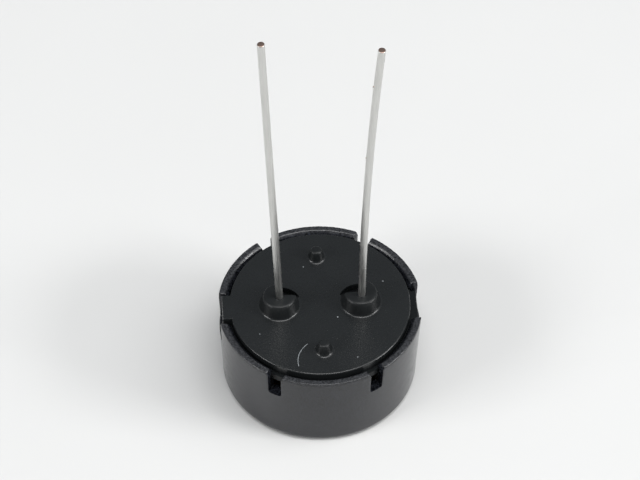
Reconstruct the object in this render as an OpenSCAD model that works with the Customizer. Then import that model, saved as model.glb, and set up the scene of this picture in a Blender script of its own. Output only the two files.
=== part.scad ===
// Round piezo buzzer with two long wire leads, standing on its sound face.
// Millimetres. +Z up, origin at the centre of the sound face, leads rising along +Z.

/* [Case] */
// Outside diameter at the rim
case_d = 12.6; // [10.5:0.1:15.2]
// Height from the sound face to the rim
case_h = 6; // [5:0.1:7.2]
// How much smaller the radius is at the sound face than at the rim
wall_draft = 0.27; // [0.1:0.01:0.35]
// Radius of the round edge at the sound face
foot_round = 0.5; // [0.2:0.05:0.6]
// Thickness of the sound face
face_t = 0.8; // [0.6:0.05:1]
// Diameter of the sound hole
sound_hole_d = 2; // [1:0.1:3]
// Depth of the air chamber between the sound face and the diaphragm
chamber_h = 1.2; // [0.9:0.05:1.5]
// Width of the flat ring on top of the rim
rim_flat = 0.29; // [0.2:0.01:0.32]
// Wall thickness at the snap lip
lip_wall = 0.64; // [0.6:0.02:0.8]
// Wall thickness at the groove that holds the plate
groove_wall = 0.48; // [0.4:0.02:0.52]
// Wall thickness between the diaphragm and the plate
bore_wall = 0.85; // [0.8:0.05:1.05]
// Wall thickness around the air chamber
chamber_wall = 1.85; // [1.6:0.05:2.2]

/* [Slots] */
// Depth of the slots that divide the rim into six fingers
slot_h = 1.9; // [1.5:0.05:2.3]
// Width of the four narrow slots at their bottom
slot_w = 0.84; // [0.6:0.02:1]
// Width that the mouth of a slot adds on each side
slot_flare = 0.13; // [0.05:0.01:0.2]
// Width of the slot beside the left lead
left_slot_w = 2.1; // [1.6:0.05:2.5]
// Width of the slot beside the right lead
right_slot_w = 2.5; // [2:0.05:3]

/* [Base plate] */
// Height of the plate's face above the rim
plate_proud = 0.1; // [0:0.02:0.15]
// Gap between the plate's raised face and the snap lip
land_gap = 0.11; // [0.08:0.01:0.2]
// Depth of the plate's flange below the rim
flange_drop = 0.5; // [0.4:0.02:0.6]
// Thickness of the flange
flange_t = 0.45; // [0.35:0.01:0.6]
// Distance of the two keys' outer faces inside the rim
key_inset = 0.3; // [0.2:0.01:0.4]
// Gap between a key and each side of its slot
key_gap = 0.12; // [0.06:0.01:0.2]
// Height of the lead bosses above the plate
boss_h = 0.93; // [0.7:0.01:1.1]
// Diameter of a lead boss at its top
boss_top_d = 2.08; // [1.8:0.02:2.2]
// Diameter of a lead boss at the plate
boss_foot_d = 2.46; // [2.3:0.02:2.48]
// Diameter of the pocket beside each lead
pocket_d = 2.8; // [2.78:0.02:3]
// Depth of the pocket below the plate's face
pocket_h = 0.5; // [0.3:0.01:0.6]
// Distance of the stand-off pips from the centre
pip_pitch_r = 3.68; // [3:0.02:3.9]
// Height of a stand-off pip
pip_h = 0.72; // [0.5:0.01:0.9]
// Diameter of a stand-off pip at its top
pip_top_d = 0.68; // [0.5:0.01:0.8]

/* [Leads] */
// Distance between the two leads at the plate
lead_pitch = 5; // [4.6:0.05:5.4]
// Diameter of the lead wire
lead_d = 0.45; // [0.4:0.01:0.54]
// Length of the left lead beyond its boss
left_lead_l = 22.5; // [18:0.5:27]
// Length of the right lead beyond its boss
right_lead_l = 22; // [18:0.5:27]
// Outward lean of the left lead in degrees
left_lean = 2.6; // [1:0.1:4]
// Outward lean of the right lead in degrees
right_lean = 1.8; // [1:0.1:4]

/* [Sounder] */
// Thickness of the brass diaphragm
diaphragm_t = 0.1; // [0.08:0.01:0.15]
// Width of the brass left bare between the ceramic and the chamber wall
bare_brass = 0.95; // [0.75:0.05:1.5]
// Thickness of the piezo ceramic
piezo_t = 0.12; // [0.1:0.01:0.2]
// Thickness of the contact springs
spring_t = 0.12; // [0.08:0.01:0.15]
// Width of the contact springs
spring_w = 0.8; // [0.6:0.02:1]
// Width of the silicone ring on top of the brass
seal_w = 0.45; // [0.3:0.05:0.6]
// Height of the silicone ring where it meets the wall
seal_h = 0.4; // [0.3:0.05:0.6]

/* [Hidden] */
$fn = 96;
// How far a cut runs past the face that it opens
eps = 0.01;
// Clearance between pieces that snap or slide together
fit_gap = 0.02;

// Case, from the outside in
rim_r = case_d / 2;
foot_r = rim_r - wall_draft;
rim_edge = 0.06;
rim_in_r = rim_r - rim_edge - rim_flat;
lip_r = rim_r - lip_wall;
groove_r = rim_r - groove_wall;
bore_r = rim_r - bore_wall;
chamber_r = rim_r - chamber_wall;
sound_hole_r = sound_hole_d / 2;

// Case, from the sound face up
ledge_z = face_t + chamber_h;
seat_z = case_h - flange_drop - flange_t;
lip_z = case_h - flange_drop;
lip_slope = 0.08;
rim_bevel = 0.3;
slot_z = case_h - slot_h;
slot_turns = [60, 120, 240, 300];

// Base plate
flange_r = groove_r - 2 * fit_gap;
land_r = lip_r - land_gap;
land_z = case_h + plate_proud;
land_edge = 0.05;
flange_z = lip_z - fit_gap;
root_round = 0.15;
boss_z = land_z + boss_h;
boss_foot_r = boss_foot_d / 2;
boss_top_r = boss_top_d / 2;
boss_edge = 0.08;
pocket_r = pocket_d / 2;
pocket_sector = 90;
pocket_slope = 44;
pip_top_r = pip_top_d / 2;
pip_foot_r = pip_top_r + 0.14;
guide_r = 0.9;
guide_h = 0.8;
guide_z = seat_z - guide_h;

// Leads
lead_x = lead_pitch / 2;
lead_r = lead_d / 2;
root_r = lead_r + 0.18;
root_end_gap = 0.03;
root_l = boss_z - guide_z - root_end_gap;
root_cone_l = 0.3;
wire_start = 0.05;
tip_round = 0.05;

// Sounder
diaphragm_gap = 0.15;
diaphragm_r = bore_r - diaphragm_gap;
piezo_r = chamber_r - bare_brass;
piezo_z = ledge_z + diaphragm_t;
piezo_top_z = piezo_z + piezo_t;
seal_in_r = diaphragm_r - seal_w;
seal_edge = 0.1;

// Contact springs
pad_l = 1.1;
toe_l = 0.35;
toe_lift = 0.2;
piezo_toe_x = 0.5;
brass_toe_x = chamber_r - 0.4;

// The points of an arc from one angle to another
function arc(centre, radius, from, to, steps = 4) =
    [for (i = [0 : steps]) let (a = from + (to - from) * i / steps)
        centre + radius * [cos(a), sin(a)]];

// A profile in the XZ plane that runs outward along +X, extruded along Y
module strip(outline, width)
    translate([0, width / 2, 0])
        rotate([90, 0, 0])
            linear_extrude(width)
                polygon(outline);

// One slot through the wall, open at the rim, centred on the +X side
module slot(width)
    translate([bore_r - groove_wall, 0, slot_z])
        rotate([90, 0, 90])
            linear_extrude(rim_r)
                polygon(slot_outline(width / 2, slot_h));

// The outline of a slot, with round bottom corners and a wider mouth
function slot_outline(half, height) = concat(
    arc([-half + root_round, root_round], root_round, 180, 270),
    arc([half - root_round, root_round], root_round, 270, 360),
    [[half, height - 2 * slot_flare],
     [half + 2 * slot_flare, height + 2 * slot_flare],
     [-half - 2 * slot_flare, height + 2 * slot_flare],
     [-half, height - 2 * slot_flare]]);

// The moulded cup: sound face down, chamber, diaphragm ledge, plate seat and snap lip
module case() {
    outside = concat(
        [[0, 0]],
        arc([foot_r - foot_round, foot_round], foot_round, 270, 360),
        [[rim_r, case_h - rim_edge],
         [rim_r - rim_edge, case_h],
         [0, case_h]]);
    hollow = [
        [0, face_t],
        [chamber_r, face_t],
        [chamber_r, ledge_z],
        [bore_r, ledge_z],
        [bore_r, seat_z],
        [groove_r, seat_z],
        [groove_r, lip_z],
        [lip_r, lip_z + lip_slope],
        [lip_r, case_h - rim_bevel],
        [rim_in_r, case_h],
        [rim_in_r, case_h + eps],
        [0, case_h + eps]];
    color("#1c1d1f")
        difference() {
            rotate_extrude() polygon(outside);
            rotate_extrude() polygon(hollow);
            translate([0, 0, -eps]) cylinder(r = sound_hole_r, h = face_t + 2 * eps);
            for (turn = slot_turns)
                rotate([0, 0, turn]) slot(slot_w);
            slot(right_slot_w);
            rotate([0, 0, 180]) slot(left_slot_w);
        }
}

// A round boss with a concave root, standing on z = 0
module rooted_boss(foot_radius, top_radius, height)
    rotate_extrude()
        polygon(concat(
            [[0, -eps], [foot_radius + root_round, -eps]],
            arc([foot_radius + root_round, root_round], root_round, 270, 180),
            [[top_radius, height - boss_edge / 2],
             [top_radius - boss_edge / 2, height],
             [0, height]]));

// The pocket beside a lead: its floor slopes down toward +X and ends at a round wall
module lead_pocket() {
    reach = 2 * pocket_r;
    intersection() {
        translate([0, 0, -pocket_h])
            cylinder(r = pocket_r, h = reach);
        translate([0, 0, -reach / 2])
            rotate([0, 0, -pocket_sector / 2])
                cube([reach, reach, 2 * reach]);
        translate([pocket_r, 0, -pocket_h])
            rotate([0, pocket_slope, 0])
                translate([-2 * reach, -reach, 0])
                    cube([2 * reach, 2 * reach, reach]);
    }
}

// The hole for one lead, wide around the root and narrow around the wire
module lead_hole() {
    gap = fit_gap / 2;
    below = -2 * root_l;
    rotate_extrude()
        polygon([[0, below],
                 [root_r + gap, below],
                 [root_r + gap, -root_cone_l],
                 [lead_r + gap, wire_start],
                 [lead_r + gap, root_l],
                 [0, root_l]]);
}

// A key that stands out through a wide slot on the +X side, from the seat up to a height
module key(slot_width, top) {
    width = slot_width - 2 * key_gap;
    translate([land_r - key_inset, -width / 2, seat_z])
        cube([rim_r - land_r, width, top - seat_z]);
}

// The moulded plate that closes the cup, carries both leads and is keyed into the two wide slots
module base_plate() {
    edge = [
        [0, seat_z],
        [flange_r, seat_z],
        [flange_r, flange_z],
        [land_r, flange_z],
        [land_r, land_z - land_edge],
        [land_r - land_edge, land_z],
        [0, land_z]];
    color("#26282a")
        difference() {
            union() {
                rotate_extrude() polygon(edge);
                key(right_slot_w, flange_z);
                rotate([0, 0, 180]) key(left_slot_w, land_z);
                for (side = [-1, 1]) {
                    translate([side * lead_x, 0, land_z])
                        rooted_boss(boss_foot_r, boss_top_r, boss_h);
                    translate([side * lead_x, 0, guide_z])
                        cylinder(r = guide_r, h = guide_h + eps);
                    translate([0, side * pip_pitch_r, land_z])
                        rooted_boss(pip_foot_r, pip_top_r, pip_h);
                }
            }
            on_lead(-1, left_lean) lead_hole();
            on_lead(1, right_lean) lead_hole();
            translate([-lead_x, 0, land_z])
                rotate([0, 0, pocket_sector / 2]) lead_pocket();
            translate([lead_x, 0, land_z])
                rotate([0, 0, 180 - pocket_sector / 2]) lead_pocket();
        }
}

// Puts its children on the axis of one lead, with z = 0 at the top of its boss
module on_lead(side, lean)
    translate([side * lead_x, 0, boss_z])
        rotate([0, side * lean, 0])
            children();

// A wire with a thicker root that the plate is moulded around, and a slightly rounded tip
module lead(length)
    rotate_extrude()
        polygon([[0, -root_l],
                 [root_r, -root_l],
                 [root_r, -root_cone_l],
                 [lead_r, wire_start],
                 [lead_r, length - tip_round],
                 [lead_r - tip_round, length],
                 [0, length]]);

module left_lead()
    color("#c9cbcb")
        on_lead(-1, left_lean)
            lead(left_lead_l);

module right_lead()
    color("#c9cbcb")
        on_lead(1, right_lean)
            lead(right_lead_l);

// The unit normal to the left of the way from one point to the next
function left_of(from, to) = [from.y - to.y, to.x - from.x] / norm(to - from);

// A path moved sideways to its left by a distance, with mitred corners
function beside(path, distance) =
    let (last = len(path) - 1)
    [for (i = [0 : last])
        let (before = left_of(path[max(i - 1, 0)], path[max(i, 1)]),
             after = left_of(path[min(i, last - 1)], path[min(i + 1, last)]))
        path[i] + distance * (before + after) / (1 + before * after)];

// The underside of a spring along its length: pad, sloping arm and turned-up toe
function spring_path(reach, drop) = [
    [-pad_l / 2, -spring_t],
    [pad_l / 2, -spring_t],
    [reach, -drop],
    [reach + toe_l, toe_lift - drop]];

// A spring under one lead that reaches out along +X and down to a contact
module contact_spring(reach, drop) {
    path = spring_path(reach, drop);
    above = beside(path, spring_t);
    strip(concat(path, [for (i = [len(above) - 1 : -1 : 0]) above[i]]), spring_w);
}

module left_contact_spring()
    color("#b98a4a")
        translate([-lead_x, 0, guide_z])
            contact_spring(lead_x - piezo_toe_x, guide_z - piezo_top_z);

module right_contact_spring()
    color("#b98a4a")
        translate([lead_x, 0, guide_z])
            contact_spring(brass_toe_x - lead_x, guide_z - piezo_z);

// The brass disc that the ceramic bends
module diaphragm()
    color("#c8a24e")
        translate([0, 0, ledge_z]) cylinder(r = diaphragm_r, h = diaphragm_t);

// The silvered ceramic bonded on the brass
module piezo_disc()
    color("#d8d4c6")
        translate([0, 0, piezo_z]) cylinder(r = piezo_r, h = piezo_t);

// The ring of silicone that holds the edge of the brass on its ledge
module diaphragm_seal()
    color("#e6e4de")
        rotate_extrude()
            polygon([[seal_in_r, piezo_z],
                     [diaphragm_r, piezo_z],
                     [diaphragm_r, ledge_z],
                     [bore_r, ledge_z],
                     [bore_r, piezo_z + seal_h],
                     [seal_in_r, piezo_z + seal_edge]]);

case();
base_plate();
left_lead();
right_lead();
left_contact_spring();
right_contact_spring();
diaphragm();
piezo_disc();
diaphragm_seal();
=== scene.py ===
"""Round piezo buzzer with two splayed wire leads, standing on its sound face."""
import math

import bmesh
import bpy
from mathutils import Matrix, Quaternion, Vector


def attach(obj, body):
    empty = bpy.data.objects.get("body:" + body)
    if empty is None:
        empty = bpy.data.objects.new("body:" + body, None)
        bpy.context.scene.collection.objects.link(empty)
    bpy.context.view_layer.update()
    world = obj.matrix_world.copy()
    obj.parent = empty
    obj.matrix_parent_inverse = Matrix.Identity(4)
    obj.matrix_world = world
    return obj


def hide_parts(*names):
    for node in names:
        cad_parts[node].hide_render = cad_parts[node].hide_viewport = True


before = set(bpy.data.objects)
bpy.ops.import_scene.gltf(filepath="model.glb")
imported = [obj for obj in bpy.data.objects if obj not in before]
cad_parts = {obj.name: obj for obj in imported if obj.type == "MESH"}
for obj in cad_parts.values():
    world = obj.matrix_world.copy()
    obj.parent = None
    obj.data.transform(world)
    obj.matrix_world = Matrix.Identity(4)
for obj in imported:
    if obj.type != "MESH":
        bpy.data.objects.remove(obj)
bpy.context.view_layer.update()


# ---------------------------------------------------------------------------
# Table top, light and camera.
# The buzzer stands on a pale sheet under a wide soft lamp. A bright window stands
# low on its right, a wider one low on its left, and a weak lamp high on its right.
# ---------------------------------------------------------------------------
MM = 0.001
scene = bpy.context.scene

# A plain view keeps the black plastic and the white paper at their own greys
scene.view_settings.view_transform = "Standard"


def linear(hex_colour):
    """An sRGB hex colour as linear red, green, blue and full alpha."""
    parts = [int(hex_colour[i:i + 2], 16) / 255 for i in (1, 3, 5)]
    return [c / 12.92 if c <= 0.04045 else ((c + 0.055) / 1.055) ** 2.4 for c in parts] + [1.0]


def add_node(tree, kind, inputs=None, **settings):
    """Adds one node. An input is a plain value, or a socket to link from."""
    node = tree.nodes.new(kind)
    for name, value in settings.items():
        setattr(node, name, value)
    for name, value in (inputs or {}).items():
        if isinstance(value, bpy.types.NodeSocket):
            tree.links.new(value, node.inputs[name])
        else:
            node.inputs[name].default_value = value
    return node


def new_material(name):
    """An empty material and its node tree."""
    material = bpy.data.materials.new(name)
    material.use_nodes = True
    material.node_tree.nodes.clear()
    return material, material.node_tree


def add_object(name, data, material=None):
    """A new object at the origin, linked to the scene."""
    piece = bpy.data.objects.new(name, data)
    scene.collection.objects.link(piece)
    if material:
        data.materials.append(material)
    return piece


# Matt coated paper: nearly white, with a faint cloudiness
paper, tree = new_material("coated_paper")
place = add_node(tree, "ShaderNodeTexCoord").outputs["Object"]
clouds = add_node(tree, "ShaderNodeTexNoise", {"Vector": place, "Scale": 1 / (25 * MM), "Detail": 3.0})
tint = add_node(tree, "ShaderNodeMix", {
    "Factor": clouds.outputs["Fac"], "A": linear("#D0D0CF"), "B": linear("#D5D5D4")}, data_type="RGBA")
shader = add_node(tree, "ShaderNodeBsdfPrincipled", {
    "Base Color": tint.outputs["Result"], "Roughness": 0.75, "Specular IOR Level": 0.25})
add_node(tree, "ShaderNodeOutputMaterial", {"Surface": shader.outputs["BSDF"]})

sheet = bmesh.new()
bmesh.ops.create_grid(sheet, x_segments=1, y_segments=1, size=1.5)
sheet_mesh = bpy.data.meshes.new("table_top")
sheet.to_mesh(sheet_mesh)
sheet.free()
add_object("table_top", sheet_mesh, paper)

# The room: a dim ceiling that pales toward the horizon, and is darker in front
room = bpy.data.worlds.new("room")
scene.world = room
room.use_nodes = True
tree = room.node_tree
tree.nodes.clear()
way = add_node(tree, "ShaderNodeTexCoord").outputs["Generated"]
compass = add_node(tree, "ShaderNodeSeparateXYZ", {"Vector": way})
fade = add_node(tree, "ShaderNodeValToRGB", {"Fac": compass.outputs["Z"]})
front = add_node(tree, "ShaderNodeMapRange", {
    "Value": compass.outputs["Y"], "From Min": -0.7, "From Max": 0.1, "To Min": 0.45, "To Max": 1.0})
stops = fade.color_ramp.elements
stops[0].position, stops[0].color = 0.0, linear("#C4C5C5")
stops[1].position, stops[1].color = 1.0, linear("#6F7275")
for level, colour in ((0.12, "#686B6E"), (0.5, "#8A8E92"), (0.75, "#85898D")):
    stops.new(level).color = linear(colour)
glow = add_node(tree, "ShaderNodeBackground", {
    "Color": fade.outputs["Color"], "Strength": front.outputs["Result"]})
add_node(tree, "ShaderNodeOutputWorld", {"Surface": glow.outputs["Background"]})


def add_window(name, centre, width, height, power):
    """A soft white rectangle of light that faces the buzzer, with sizes in mm and power in watts."""
    light = bpy.data.lights.new(name, "AREA")
    light.shape = "RECTANGLE"
    light.size, light.size_y = width * MM, height * MM
    light.energy = power
    lamp = bpy.data.objects.new(name, light)
    scene.collection.objects.link(lamp)
    lamp.location = Vector(centre) * MM
    lamp.rotation_mode = "QUATERNION"
    lamp.rotation_quaternion = (-lamp.location).to_track_quat("-Z", "Y")


add_window("right_window", (428, -139, 219), 170, 100, 1.35)
add_window("left_window", (-400, -160, 255), 220, 130, 1.2)
add_window("ceiling_lamp", (40, -120, 600), 400, 300, 2.35)
add_window("high_right_lamp", (300, -60, 420), 300, 300, 0.7)

# A long lens high in front, turned a little clockwise, with the leads in the upper half
camera_data = bpy.data.cameras.new("camera")
camera_data.lens = 189.3
camera_data.sensor_width = 36.0
camera = bpy.data.objects.new("camera", camera_data)
scene.collection.objects.link(camera)
scene.camera = camera
camera.location = Vector((-9.74, -129.5, 166.7)) * MM
rim_centre = Vector((0, 0, 6)) * MM
toward_rim = (rim_centre - camera.location).to_track_quat("-Z", "Y")
camera.rotation_mode = "QUATERNION"
camera.rotation_quaternion = (
    toward_rim
    @ Quaternion((0, 0, 1), math.radians(0.73))
    @ Quaternion((1, 0, 0), math.radians(1.0895)))


# ---------------------------------------------------------------------------
# Case.
# One moulded cup of black ABS, sound face down. Six slots divide its rim into
# fingers that snap over the base plate, and the mouth of each slot is flared.
# ---------------------------------------------------------------------------
RIM_Z = 6.0
SLOT_Z = 4.1
# the seat that the base plate rests on, and the bore below it
SEAT_Z = 5.05
BORE_R = 5.45
# the height at which a slot starts to flare, and how far each side has opened at the rim
MOUTH_Z = 5.74
MOUTH_FLARE = 0.13
COLUMNS = 240
# each slot: its middle in degrees, half its width, and the columns that it takes on each side
SLOTS = [(0, 1.25, 8), (60, 0.42, 3), (120, 0.42, 3), (180, 1.05, 7), (240, 0.42, 3), (300, 0.42, 3)]


def spun(outline, columns, closed=False):
    """A mesh made by spinning an outline of (radius, height) in mm round the Z axis."""
    made = bmesh.new()
    chain = [made.verts.new((r * MM, 0, z * MM)) for r, z in outline]
    edges = [made.edges.new(pair) for pair in zip(chain, chain[1:])]
    if closed:
        edges.append(made.edges.new((chain[-1], chain[0])))
    bmesh.ops.spin(made, geom=chain + edges, cent=(0, 0, 0), axis=(0, 0, 1),
                   angle=math.tau, steps=columns, use_merge=True)
    bmesh.ops.remove_doubles(made, verts=made.verts, dist=0.002 * MM)
    bmesh.ops.recalc_face_normals(made, faces=made.faces)
    return made


def sharp_edges(mesh, angle, keep=lambda middle: True):
    """The edges that turn by more than an angle, where keep says yes to their middle in mm."""
    found = []
    for edge in mesh.edges:
        if len(edge.link_faces) == 2 and edge.calc_face_angle() > math.radians(angle):
            if keep((edge.verts[0].co + edge.verts[1].co) / 2 / MM):
                found.append(edge)
    return found


def round_edges(mesh, edges, width, steps):
    """Rounds edges to a width in mm."""
    bmesh.ops.bevel(mesh, geom=edges, offset=width * MM, offset_type="OFFSET", segments=steps,
                    profile=0.5, affect="EDGES", material=-1, clamp_overlap=True)


def finished_mesh(name, made):
    """Turns a bmesh into mesh data, smooth except at its sharp corners, with its faces outwards."""
    bmesh.ops.recalc_face_normals(made, faces=made.faces)
    for face in made.faces:
        face.smooth = True
    for edge in sharp_edges(made, 50):
        edge.smooth = False
    data = bpy.data.meshes.new(name)
    made.to_mesh(data)
    made.free()
    return data


def shade_by_area(piece):
    """Lets the large faces of a piece set its shading, so that flats stay flat beside round edges."""
    modifier = piece.modifiers.new("shading", "WEIGHTED_NORMAL")
    modifier.keep_sharp = True


# The cup's outline, from the sound hole out, up the wall and down its inside. The wall is
# straight, with more rings of points beside the floors and mouths of the slots.
sound_face = [(1.0, 0.0), (6.03, 0.0)]
drafted_wall = [(6.04, 0.9), (6.176, 3.8), (6.187, 4.03), (6.19, SLOT_Z), (6.197, 4.25),
                (6.268, MOUTH_Z), (6.28, RIM_Z)]
chamfered_lip = [(5.94, RIM_Z), (5.66, 5.7), (5.66, 5.58)]
snap_groove = [(5.82, 5.5), (5.82, SEAT_Z), (BORE_R, SEAT_Z)]
bore_and_ledge = [(BORE_R, SLOT_Z), (BORE_R, 2.0), (4.45, 2.0)]
chamber_and_sound_hole = [(4.45, 0.8), (1.0, 0.8)]
cup = spun(sound_face + drafted_wall + chamfered_lip + snap_groove + bore_and_ledge
           + chamber_and_sound_hole, COLUMNS, closed=True)


def polar(point):
    """Radius in mm and angle in degrees from 0 to 360."""
    return math.hypot(point.x, point.y) / MM, math.degrees(math.atan2(point.y, point.x)) % 360


def slot_near(angle):
    """The slot that an angle falls in, or None."""
    for middle, half, columns in SLOTS:
        offset = (angle - middle + 180) % 360 - 180
        if abs(offset) < columns * 360 / COLUMNS:
            return middle, half, columns
    return None


# Open the slots through the wall outside the bore, then floor them and close their side walls
gone = []
for face in cup.faces:
    middle = face.calc_center_median()
    radius, angle = polar(middle)
    if middle.z > SLOT_Z * MM and radius > BORE_R - 0.25 and slot_near(angle):
        gone.append(face)
bmesh.ops.delete(cup, geom=gone, context="FACES")
for slot in SLOTS:
    arcs = []
    for edge in cup.edges:
        if edge.is_boundary and all(abs(v.co.z - SLOT_Z * MM) < 0.001 * MM for v in edge.verts):
            if slot_near(polar((edge.verts[0].co + edge.verts[1].co) / 2)[1]) == slot:
                arcs.append(edge)
    bmesh.ops.bridge_loops(cup, edges=arcs)
bmesh.ops.holes_fill(cup, edges=[e for e in cup.edges if e.is_boundary], sides=0)


def slot_half(half, height):
    """Half the width of a slot at a height, with its flared mouth."""
    return half + MOUTH_FLARE * min(max((height - MOUTH_Z) / (RIM_Z - MOUTH_Z), 0), 1)


def slot_angle(slot, radius, height):
    """The angle from a slot's middle to its wall, in degrees."""
    return math.degrees(math.asin(slot_half(slot[1], height) / radius))


# Slide every column of the wall round, so that each slot has parallel sides
for vert in cup.verts:
    radius, angle = polar(vert.co)
    if radius < BORE_R - 0.45:
        continue
    height = vert.co.z / MM
    for before, after in zip(SLOTS, SLOTS[1:] + SLOTS[:1]):
        start, end = before[0], after[0] + (360 if after[0] == 0 else 0)
        if not start <= angle <= end:
            continue
        grid_a, grid_b = before[2] * 360 / COLUMNS, after[2] * 360 / COLUMNS
        true_a, true_b = slot_angle(before, radius, height), slot_angle(after, radius, height)
        if angle <= start + grid_a:
            angle = start + (angle - start) * true_a / grid_a
        elif angle >= end - grid_b:
            angle = end - (end - angle) * true_b / grid_b
        else:
            share = (angle - start - grid_a) / (end - grid_b - start - grid_a)
            angle = start + true_a + share * (end - true_b - start - true_a)
        break
    vert.co.x = radius * MM * math.cos(math.radians(angle))
    vert.co.y = radius * MM * math.sin(math.radians(angle))

bmesh.ops.triangulate(cup, faces=[f for f in cup.faces if len(f.verts) > 4])

# A large round at the foot of the wall
round_edges(cup, sharp_edges(cup, 40, lambda p: p.z < 0.2 and p.xy.length > 5), 0.5, 8)

# A small one in the two corners of each slot's floor, along the edges that run through the wall
floor_edges = sharp_edges(cup, 40, lambda p: abs(p.z - SLOT_Z) < 0.01 and 5.5 < p.xy.length < 6.1)
through_wall = [e for e in floor_edges
                if abs(e.verts[0].co.xy.length - e.verts[1].co.xy.length) > 0.3 * MM]
round_edges(cup, through_wall, 0.15, 3)

# And a fine one on every other corner, away from the floors of the slots
round_edges(cup, sharp_edges(cup, 25, lambda p: abs(p.z - SLOT_Z) > 0.2), 0.05, 2)

# Black ABS from a spark-eroded mould: glossy on the wall and duller on the rim, where the tint is painted
# paler as a painted reflection over the same grain.
# Its fine grain is drawn at 0.13 mm, coarser than the real one, so that it shows.
case_abs, tree = new_material("black_moulded_abs")
place = add_node(tree, "ShaderNodeTexCoord").outputs["Object"]
grain = add_node(tree, "ShaderNodeTexNoise", {
    "Vector": place, "Scale": 1 / (0.13 * MM), "Detail": 2.0, "Roughness": 0.6})
patches = add_node(tree, "ShaderNodeTexNoise", {"Vector": place, "Scale": 1 / (0.45 * MM), "Detail": 3.0})
speckle = add_node(tree, "ShaderNodeMapRange", {
    "Value": grain.outputs["Fac"], "From Min": 0.36, "From Max": 0.64, "To Min": 0.0, "To Max": 1.0})
wall_tint = add_node(tree, "ShaderNodeMix", {
    "Factor": speckle.outputs["Result"], "A": linear("#060709"), "B": linear("#25272D")}, data_type="RGBA")
# The rim's tint: the same speckled grain, painted paler as a painted reflection
rim_grain_and_painted_reflection = add_node(tree, "ShaderNodeMix", {
    "Factor": speckle.outputs["Result"], "A": linear("#18191B"), "B": linear("#38393C")}, data_type="RGBA")
height = add_node(tree, "ShaderNodeSeparateXYZ", {"Vector": place}).outputs["Z"]
on_rim = add_node(tree, "ShaderNodeMapRange", {
    "Value": height, "From Min": 5.85 * MM, "From Max": 5.97 * MM, "To Min": 0.0, "To Max": 1.0})
# Mixes the painted reflection in toward the top of the rim
tint = add_node(tree, "ShaderNodeMix", {
    "Factor": on_rim.outputs["Result"], "A": wall_tint.outputs["Result"],
    "B": rim_grain_and_painted_reflection.outputs["Result"]}, data_type="RGBA")
base_gloss = add_node(tree, "ShaderNodeMapRange", {
    "Value": height, "From Min": 5.5 * MM, "From Max": 5.9 * MM, "To Min": 0.16, "To Max": 0.25})
uneven = add_node(tree, "ShaderNodeMapRange", {
    "Value": patches.outputs["Fac"], "From Min": 0.35, "From Max": 0.65, "To Min": 0.75, "To Max": 1.35})
gloss = add_node(tree, "ShaderNodeMath", {
    0: base_gloss.outputs["Result"], 1: uneven.outputs["Result"]}, operation="MULTIPLY")
relief_depth = add_node(tree, "ShaderNodeMapRange", {
    "Value": height, "From Min": 5.5 * MM, "From Max": 5.9 * MM, "To Min": 0.1, "To Max": 0.55})
relief = add_node(tree, "ShaderNodeBump", {
    "Height": patches.outputs["Fac"], "Strength": relief_depth.outputs["Result"],
    "Distance": 0.05 * MM})
shader = add_node(tree, "ShaderNodeBsdfPrincipled", {
    "Base Color": tint.outputs["Result"], "Roughness": gloss.outputs["Value"],
    "IOR": 1.48, "Normal": relief.outputs["Normal"]})
add_node(tree, "ShaderNodeOutputMaterial", {"Surface": shader.outputs["BSDF"]})

case = add_object("case_cup", finished_mesh("case_cup", cup), case_abs)
shade_by_area(case)
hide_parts("case")
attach(case, "root")


# ---------------------------------------------------------------------------
# Diaphragm.
# A thin disc of rolled brass that rests on the ledge over the air chamber.
# ---------------------------------------------------------------------------
def give_material(node_name, material):
    """Puts a material on a node that keeps its own mesh."""
    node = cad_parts[node_name]
    node.data.materials.clear()
    node.data.materials.append(material)


# Rolled brass: fine parallel rolling lines and slight brown tarnish
brass, tree = new_material("rolled_brass")
place = add_node(tree, "ShaderNodeTexCoord").outputs["Object"]
along = add_node(tree, "ShaderNodeMapping", {"Vector": place, "Scale": (0.05, 1.0, 1.0)})
lines = add_node(tree, "ShaderNodeTexNoise", {
    "Vector": along.outputs["Vector"], "Scale": 1 / (0.08 * MM), "Detail": 2.0})
tarnish = add_node(tree, "ShaderNodeTexNoise", {"Vector": place, "Scale": 1 / (2.5 * MM), "Detail": 4.0})
tint = add_node(tree, "ShaderNodeMix", {
    "Factor": tarnish.outputs["Fac"], "A": linear("#CDAE62"), "B": linear("#A98342")}, data_type="RGBA")
gloss = add_node(tree, "ShaderNodeMapRange", {
    "Value": lines.outputs["Fac"], "From Min": 0.3, "From Max": 0.7, "To Min": 0.22, "To Max": 0.4})
shader = add_node(tree, "ShaderNodeBsdfPrincipled", {
    "Base Color": tint.outputs["Result"], "Metallic": 1.0, "Roughness": gloss.outputs["Result"]})
add_node(tree, "ShaderNodeOutputMaterial", {"Surface": shader.outputs["BSDF"]})
give_material("diaphragm", brass)


# ---------------------------------------------------------------------------
# Piezo disc.
# A fired ceramic disc with a printed silver face, bonded on the brass.
# ---------------------------------------------------------------------------
silver, tree = new_material("fired_silver_on_ceramic")
place = add_node(tree, "ShaderNodeTexCoord").outputs["Object"]
grit = add_node(tree, "ShaderNodeTexNoise", {"Vector": place, "Scale": 1 / (0.1 * MM), "Detail": 3.0})
tint = add_node(tree, "ShaderNodeMix", {
    "Factor": grit.outputs["Fac"], "A": linear("#C9C5BA"), "B": linear("#E2DFD6")}, data_type="RGBA")
relief = add_node(tree, "ShaderNodeBump", {
    "Height": grit.outputs["Fac"], "Strength": 0.3, "Distance": 0.01 * MM})
shader = add_node(tree, "ShaderNodeBsdfPrincipled", {
    "Base Color": tint.outputs["Result"], "Metallic": 0.6, "Roughness": 0.55,
    "Normal": relief.outputs["Normal"]})
add_node(tree, "ShaderNodeOutputMaterial", {"Surface": shader.outputs["BSDF"]})
give_material("piezo_disc", silver)


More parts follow.
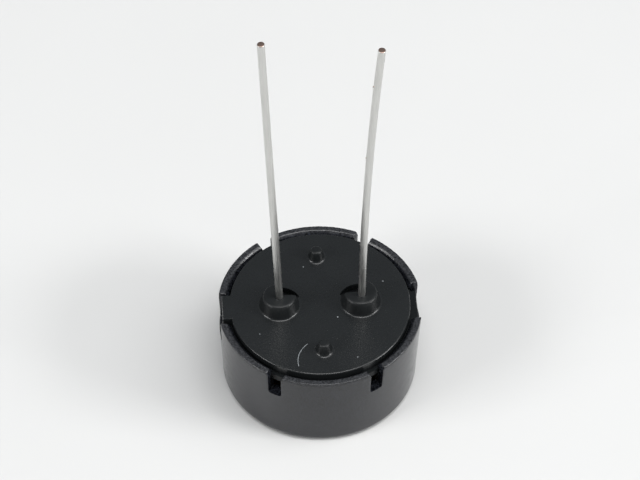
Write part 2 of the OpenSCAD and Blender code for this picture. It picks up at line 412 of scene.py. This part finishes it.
# ---------------------------------------------------------------------------
# Diaphragm seal.
# A bead of cured silicone that holds the edge of the brass on its ledge.
# ---------------------------------------------------------------------------
silicone, tree = new_material("cured_silicone")
place = add_node(tree, "ShaderNodeTexCoord").outputs["Object"]
lumps = add_node(tree, "ShaderNodeTexNoise", {"Vector": place, "Scale": 1 / (0.6 * MM), "Detail": 2.0})
tint = add_node(tree, "ShaderNodeMix", {
    "Factor": lumps.outputs["Fac"], "A": linear("#DEDCD5"), "B": linear("#EAE8E2")}, data_type="RGBA")
relief = add_node(tree, "ShaderNodeBump", {
    "Height": lumps.outputs["Fac"], "Strength": 0.4, "Distance": 0.05 * MM})
shader = add_node(tree, "ShaderNodeBsdfPrincipled", {
    "Base Color": tint.outputs["Result"], "Roughness": 0.32, "IOR": 1.41,
    "Normal": relief.outputs["Normal"]})
add_node(tree, "ShaderNodeOutputMaterial", {"Surface": shader.outputs["BSDF"]})
give_material("diaphragm_seal", silicone)


# ---------------------------------------------------------------------------
# Contact springs.
# Two strips of rolled phosphor bronze. One presses on the silver face and one
# on the brass, and each carries the signal from its lead.
# ---------------------------------------------------------------------------
bronze, tree = new_material("rolled_phosphor_bronze")
place = add_node(tree, "ShaderNodeTexCoord").outputs["Object"]
along = add_node(tree, "ShaderNodeMapping", {"Vector": place, "Scale": (0.06, 1.0, 0.06)})
lines = add_node(tree, "ShaderNodeTexNoise", {
    "Vector": along.outputs["Vector"], "Scale": 1 / (0.06 * MM), "Detail": 2.0})
tint = add_node(tree, "ShaderNodeMix", {
    "Factor": lines.outputs["Fac"], "A": linear("#C08A52"), "B": linear("#D3A26C")}, data_type="RGBA")
gloss = add_node(tree, "ShaderNodeMapRange", {
    "Value": lines.outputs["Fac"], "From Min": 0.3, "From Max": 0.7, "To Min": 0.25, "To Max": 0.38})
shader = add_node(tree, "ShaderNodeBsdfPrincipled", {
    "Base Color": tint.outputs["Result"], "Metallic": 1.0, "Roughness": gloss.outputs["Result"]})
add_node(tree, "ShaderNodeOutputMaterial", {"Surface": shader.outputs["BSDF"]})
give_material("left_contact_spring", bronze)
give_material("right_contact_spring", bronze)


# ---------------------------------------------------------------------------
# Base plate.
# One moulded disc of black ABS. Each lead stands in a boss with a pocket beside it,
# two pips hold the part off its board, and two keys stop the disc from turning.
# ---------------------------------------------------------------------------
PLATE_Z = 6.1
LEAD_X = 2.5
PIP_Y = 3.68
BOSS_H = 0.93
PIP_H = 0.72
SPOKES = 96
# The outlines of a boss and of a pip, each a list of (radius, height over the plate): a flat
# top, a round shoulder, a drafted side and a filleted foot
BOSS_SIDE = [(0, BOSS_H), (0.78, BOSS_H), (0.88, 0.92), (0.95, 0.89), (1.01, 0.82), (1.05, 0.72),
             (1.21, 0.13), (1.23, 0.07), (1.26, 0.03), (1.30, 0.01), (1.34, 0)]
PIP_SIDE = [(0, PIP_H), (0.2, PIP_H), (0.28, 0.70), (0.34, 0.64), (0.37, 0.55), (0.47, 0.16),
            (0.49, 0.10), (0.53, 0.045), (0.58, 0.01), (0.63, 0)]
# the pocket beside a boss: its wall, its depth there, the slope and direction of its ramp, half
# the angle that it takes, and half of that in which each of its ends rises
POCKET_R = 1.37
POCKET_H = 0.5
RAMP_SLOPE = math.tan(math.radians(44))
RAMP_TURN = 75
POCKET_HALF_TURN = 44.5
END_HALF_TURN = 1.2


def ease(value, low, high):
    """0 below low, 1 above high, and a smooth step between them."""
    share = min(max((value - low) / (high - low), 0), 1)
    return share * share * (3 - 2 * share)


def follow(points, radius):
    """The height that a list of (radius, height) gives at a radius."""
    for (r0, z0), (r1, z1) in zip(points, points[1:]):
        if radius <= r1:
            return z0 + (z1 - z0) * max(radius - r0, 0) / (r1 - r0)
    return points[-1][1]


def boss_height(radius, angle):
    """Height over the plate of a boss, with the flat ramp of a pocket from 0 to 90 degrees."""
    outside = follow(BOSS_SIDE, radius)
    along = radius * math.cos(math.radians(angle - RAMP_TURN))
    floor = min((POCKET_R - along) * RAMP_SLOPE - POCKET_H, outside)
    inside = floor + (outside - floor) * ease(radius, POCKET_R - 0.01, POCKET_R + 0.02)
    in_pocket = ease(POCKET_HALF_TURN - abs(angle - 45), -END_HALF_TURN, END_HALF_TURN)
    return outside + (inside - outside) * in_pocket


def pip_height(radius, angle):
    """Height over the plate of a pip."""
    return follow(PIP_SIDE, radius)


def snug(angle, walls):
    """Draws the spokes on each side of a wall close to it."""
    for wall in walls:
        offset = (angle - wall + 180) % 360 - 180
        if abs(offset) < 4:
            return wall + offset * 0.3
    return angle


def add_feature(made, centre, rings, height, turn, mirrored, walls):
    """A round feature of the plate: rings of points, each lifted to its height."""
    start = bmesh.ops.create_circle(made, cap_ends=True, cap_tris=True, segments=SPOKES,
                                    radius=rings[0] * MM)["verts"]
    loops = list(start)
    edges = [e for e in made.edges if e.is_boundary and all(v in start for v in e.verts)]
    for inner, outer in zip(rings, rings[1:]):
        grown = bmesh.ops.extrude_edge_only(made, edges=edges)["geom"]
        ring = [g for g in grown if isinstance(g, bmesh.types.BMVert)]
        edges = [g for g in grown if isinstance(g, bmesh.types.BMEdge) and g.is_boundary]
        bmesh.ops.scale(made, vec=(outer / inner, outer / inner, 1), verts=ring)
        loops += ring
    for vert in loops:
        radius, angle = polar(vert.co)
        if radius > 0.01:
            angle = snug(angle, walls)
        lift = height(radius, (angle + 180) % 360 - 180)
        spot = turn + (-angle if mirrored else angle)
        vert.co = Vector((centre[0] + radius * math.cos(math.radians(spot)),
                          centre[1] + radius * math.sin(math.radians(spot)),
                          PLATE_Z + lift)) * MM
    return edges


# The underside, the flange that the fingers snap over, and the raised face with its round edge
FLANGE_R = 5.78
FLANGE_Z = 5.48
LAND_R = 5.55
flange = [(0, SEAT_Z), (FLANGE_R, SEAT_Z), (FLANGE_R, FLANGE_Z), (LAND_R, FLANGE_Z)]
round_edge = [(LAND_R, 6.01), (5.541, 6.045), (5.521, 6.075), (5.494, 6.093), (5.46, PLATE_Z)]
# A narrow flat ring inside the edge keeps the shading of the face even
plate = spun(flange + round_edge + [(5.36, PLATE_Z)], 192)
borders = [e for e in plate.edges if e.is_boundary]

# The rings of points that each feature is drawn with, closest at its corners
boss_rings = [0.1, 0.3, 0.5, 0.65, 0.78, 0.83, 0.88, 0.92, 0.95, 0.98, 1.01, 1.03, 1.05, 1.10, 1.16,
              1.21, 1.23, 1.24, 1.265, 1.29, 1.32, 1.35, 1.36, 1.37, 1.38, 1.39, 1.41, 1.45, 1.6]
pip_rings = [0.1, 0.2, 0.24, 0.28, 0.31, 0.34, 0.37, 0.42, 0.47, 0.49, 0.53, 0.58, 0.63, 0.7]
borders += add_feature(plate, (-LEAD_X, 0), boss_rings, boss_height, 0, False, (0, 90))
borders += add_feature(plate, (LEAD_X, 0), boss_rings, boss_height, 180, True, (0, 90))
borders += add_feature(plate, (0, PIP_Y), pip_rings, pip_height, 0, False, ())
borders += add_feature(plate, (0, -PIP_Y), pip_rings, pip_height, 0, False, ())
bmesh.ops.triangle_fill(plate, edges=borders, use_beauty=True, normal=(0, 0, 1))

# Two guides under the plate, round the roots of the leads
GUIDE_R = 0.9
GUIDE_H = 0.82
GUIDE_MIDDLE_Z = 4.66
for side in (-1, 1):
    guide = bmesh.ops.create_cone(plate, cap_ends=True, segments=64, radius1=GUIDE_R * MM,
                                  radius2=GUIDE_R * MM, depth=GUIDE_H * MM)["verts"]
    bmesh.ops.translate(plate, vec=Vector((side * LEAD_X, 0, GUIDE_MIDDLE_Z)) * MM, verts=guide)

# Two keys stand out through the wide slots: the left one flush with the face, the right one low.
# Each is (side, width, height of its top), and is rounded on its outer upper edges.
KEY_LENGTH = 0.8
KEY_X = 5.6
for side, width, top in ((-1, 1.86, PLATE_Z + 0.002), (1, 2.26, FLANGE_Z + 0.002)):
    key = bmesh.ops.create_cube(plate, size=1)["verts"]
    bmesh.ops.scale(plate, vec=Vector((KEY_LENGTH, width, top - SEAT_Z)) * MM, verts=key)
    bmesh.ops.translate(plate, vec=Vector((side * KEY_X, 0, (top + SEAT_Z) / 2)) * MM, verts=key)
    outer_edges = []
    for edge in plate.edges:
        upper = all(v in key and v.co.z > (top - 0.1) * MM for v in edge.verts)
        if upper and any(abs(v.co.x) > KEY_X * MM for v in edge.verts):
            outer_edges.append(edge)
    round_edges(plate, outer_edges, 0.05, 3)

# Black ABS from a smoother mould: a soft gloss that blurs what it mirrors, a little duller on
# the bosses and pips, and nearly dull in the gap below the face
plate_abs, tree = new_material("black_smooth_abs")
place = add_node(tree, "ShaderNodeTexCoord").outputs["Object"]
grain = add_node(tree, "ShaderNodeTexNoise", {
    "Vector": place, "Scale": 1 / (0.12 * MM), "Detail": 3.0, "Roughness": 0.6})
waves = add_node(tree, "ShaderNodeTexNoise", {"Vector": place, "Scale": 1 / (1.6 * MM), "Detail": 2.0})
tint = add_node(tree, "ShaderNodeMix", {
    "Factor": waves.outputs["Fac"], "A": linear("#151718"), "B": linear("#1B1D1E")}, data_type="RGBA")
face_gloss = add_node(tree, "ShaderNodeMapRange", {
    "Value": grain.outputs["Fac"], "From Min": 0.3, "From Max": 0.7, "To Min": 0.24, "To Max": 0.34})
across = add_node(tree, "ShaderNodeSeparateXYZ", {"Vector": place})
duller = add_node(tree, "ShaderNodeMapRange", {
    "Value": across.outputs["Z"],
    "From Min": 6.15 * MM, "From Max": 6.3 * MM, "To Min": 0.0, "To Max": 0.09})
gloss = add_node(tree, "ShaderNodeMath", {
    0: face_gloss.outputs["Result"], 1: duller.outputs["Result"]}, operation="ADD")
low_shine = add_node(tree, "ShaderNodeMapRange", {
    "Value": across.outputs["Z"],
    "From Min": 5.92 * MM, "From Max": 6.0 * MM, "To Min": 0.12, "To Max": 0.5})
high_loss = add_node(tree, "ShaderNodeMapRange", {
    "Value": across.outputs["Z"],
    "From Min": 6.15 * MM, "From Max": 6.3 * MM, "To Min": 0.0, "To Max": 0.22})
shine = add_node(tree, "ShaderNodeMath", {
    0: low_shine.outputs["Result"], 1: high_loss.outputs["Result"]}, operation="SUBTRACT")
relief = add_node(tree, "ShaderNodeBump", {
    "Height": grain.outputs["Fac"], "Strength": 0.1, "Distance": 0.012 * MM})

# Pale marks on the face. One is a fine scratch: the left stretch of a circle, cut off at both
# ends. Its middle height on the face and half its length are both measured along Y.
SCRATCH_CENTRE = Vector((0.075, -4.5, PLATE_Z))
SCRATCH_R = 1.70
SCRATCH_HALF_WIDTH = 0.022
SCRATCH_Y = -3.98
SCRATCH_HALF_LENGTH = 0.83
scratch_away = add_node(tree, "ShaderNodeVectorMath", {
    0: place, 1: SCRATCH_CENTRE * MM}, operation="DISTANCE")
on_arc = add_node(tree, "ShaderNodeMath", {
    0: scratch_away.outputs["Value"], 1: SCRATCH_R * MM,
    2: SCRATCH_HALF_WIDTH * MM}, operation="COMPARE")
on_stretch = add_node(tree, "ShaderNodeMath", {
    0: across.outputs["Y"], 1: SCRATCH_Y * MM, 2: SCRATCH_HALF_LENGTH * MM}, operation="COMPARE")
on_left = add_node(tree, "ShaderNodeMath", {
    0: across.outputs["X"], 1: SCRATCH_CENTRE.x * MM}, operation="LESS_THAN")
marks = add_node(tree, "ShaderNodeMath", {
    0: on_arc.outputs["Value"], 1: on_stretch.outputs["Value"]}, operation="MULTIPLY")
marks = add_node(tree, "ShaderNodeMath", {
    0: marks.outputs["Value"], 1: on_left.outputs["Value"]}, operation="MULTIPLY")

# The others are specks of dust, each (x, y, radius)
for x, y, radius in ((-0.85, 2.92, 0.04), (1.01, -1.16, 0.05), (2.01, -4.33, 0.04),
                     (3.98, 1.51, 0.045), (-3.82, -2.21, 0.04)):
    away = add_node(tree, "ShaderNodeVectorMath", {
        0: place, 1: Vector((x, y, PLATE_Z)) * MM}, operation="DISTANCE")
    speck = add_node(tree, "ShaderNodeMath", {
        0: away.outputs["Value"], 1: radius * MM}, operation="LESS_THAN")
    marks = add_node(tree, "ShaderNodeMath", {
        0: marks.outputs["Value"], 1: speck.outputs["Value"]}, operation="MAXIMUM")
tint = add_node(tree, "ShaderNodeMix", {
    "Factor": marks.outputs["Value"], "A": tint.outputs["Result"],
    "B": linear("#7E8284")}, data_type="RGBA")
shader = add_node(tree, "ShaderNodeBsdfPrincipled", {
    "Base Color": tint.outputs["Result"], "Roughness": gloss.outputs["Value"],
    "Specular IOR Level": shine.outputs["Value"], "IOR": 1.5, "Normal": relief.outputs["Normal"]})
add_node(tree, "ShaderNodeOutputMaterial", {"Surface": shader.outputs["BSDF"]})

base_plate = add_object("plate_disc", finished_mesh("plate_disc", plate), plate_abs)
shade_by_area(base_plate)
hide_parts("base_plate")
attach(base_plate, "root")


# ---------------------------------------------------------------------------
# Leads.
# Two tinned copper wires that stand out of their bosses and splay apart. The right
# one is bowed a little. Both were cut to length, so their tips show bare copper.
# ---------------------------------------------------------------------------
WIRE_R = 0.225
WIRE_STEPS = 24
BOSS_Z = PLATE_Z + BOSS_H


def wire(foot, side, length, lean, bow, crumbs):
    """A wire from inside its boss, which it leaves at foot, bowed by mm and leaned out by degrees.

    Each crumb is a speck of tin that stands out of its left side: (height, radius) in mm.
    """
    made = bmesh.new()
    # the end inside the boss
    below = 0.6
    bmesh.ops.create_cone(made, cap_ends=True, cap_tris=True, segments=32, radius1=WIRE_R * MM,
                          radius2=WIRE_R * MM, depth=(length + below) * MM)
    bmesh.ops.translate(made, vec=(0, 0, (length - below) / 2 * MM), verts=made.verts)
    round_edges(made, sharp_edges(made, 60), 0.05, 3)
    for step in range(1, WIRE_STEPS):
        bmesh.ops.bisect_plane(made, geom=made.verts[:] + made.edges[:] + made.faces[:],
                               plane_co=(0, 0, length * step / WIRE_STEPS * MM), plane_no=(0, 0, 1))
    for up, radius in crumbs:
        crumb = bmesh.ops.create_icosphere(made, subdivisions=2, radius=radius * MM)["verts"]
        bmesh.ops.translate(made, vec=Vector((-WIRE_R, -0.05, up)) * MM, verts=crumb)
    for vert in made.verts:
        share = min(max(vert.co.z / MM / length, 0), 1)
        vert.co.x -= side * bow * 4 * share * (1 - share) * MM
    turn = Quaternion((0, 1, 0), math.radians(side * lean)).to_matrix()
    bmesh.ops.rotate(made, verts=made.verts, cent=(0, 0, 0), matrix=turn)
    bmesh.ops.translate(made, vec=Vector((*foot, BOSS_Z)) * MM, verts=made.verts)
    return made


# Drawn copper wire with a hot tin coat: fine lines along it, dull patches, bare copper at the cut
tinned, tree = new_material("tinned_copper_wire")
place = add_node(tree, "ShaderNodeTexCoord").outputs["Object"]
along = add_node(tree, "ShaderNodeMapping", {"Vector": place, "Scale": (1.0, 1.0, 0.03)})
lines = add_node(tree, "ShaderNodeTexNoise", {
    "Vector": along.outputs["Vector"], "Scale": 1 / (0.07 * MM), "Detail": 3.0})
dull = add_node(tree, "ShaderNodeTexNoise", {"Vector": place, "Scale": 1 / (1.2 * MM), "Detail": 3.0})
gloss = add_node(tree, "ShaderNodeMapRange", {
    "Value": dull.outputs["Fac"], "From Min": 0.3, "From Max": 0.7, "To Min": 0.29, "To Max": 0.41})
tint = add_node(tree, "ShaderNodeMix", {
    "Factor": lines.outputs["Fac"], "A": linear("#C2C2BF"), "B": linear("#DCDCD9")}, data_type="RGBA")
facing = add_node(tree, "ShaderNodeSeparateXYZ", {
    "Vector": add_node(tree, "ShaderNodeTexCoord").outputs["Normal"]}).outputs["Z"]
cut = add_node(tree, "ShaderNodeMath", {0: facing, 1: 0.75}, operation="GREATER_THAN")
tint = add_node(tree, "ShaderNodeMix", {
    "Factor": cut.outputs["Value"], "A": tint.outputs["Result"],
    "B": linear("#B3998C")}, data_type="RGBA")
relief = add_node(tree, "ShaderNodeBump", {
    "Height": lines.outputs["Fac"], "Strength": 0.35, "Distance": 0.01 * MM})
shader = add_node(tree, "ShaderNodeBsdfPrincipled", {
    "Base Color": tint.outputs["Result"], "Metallic": 1.0, "Roughness": gloss.outputs["Result"],
    "Normal": relief.outputs["Normal"]})
add_node(tree, "ShaderNodeOutputMaterial", {"Surface": shader.outputs["BSDF"]})

left_mesh = finished_mesh("left_wire", wire((-2.5, -0.1), -1, 22.5, 2.6, 0, ()))
left_lead = add_object("left_wire", left_mesh, tinned)
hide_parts("left_lead")
right_crumbs = ((18.7, 0.07), (12.6, 0.06))
right_mesh = finished_mesh("right_wire", wire((2.55, -0.2), 1, 21.7, 2.0, 0.2, right_crumbs))
right_lead = add_object("right_wire", right_mesh, tinned)
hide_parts("right_lead")
for lead in (left_lead, right_lead):
    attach(lead, "root")
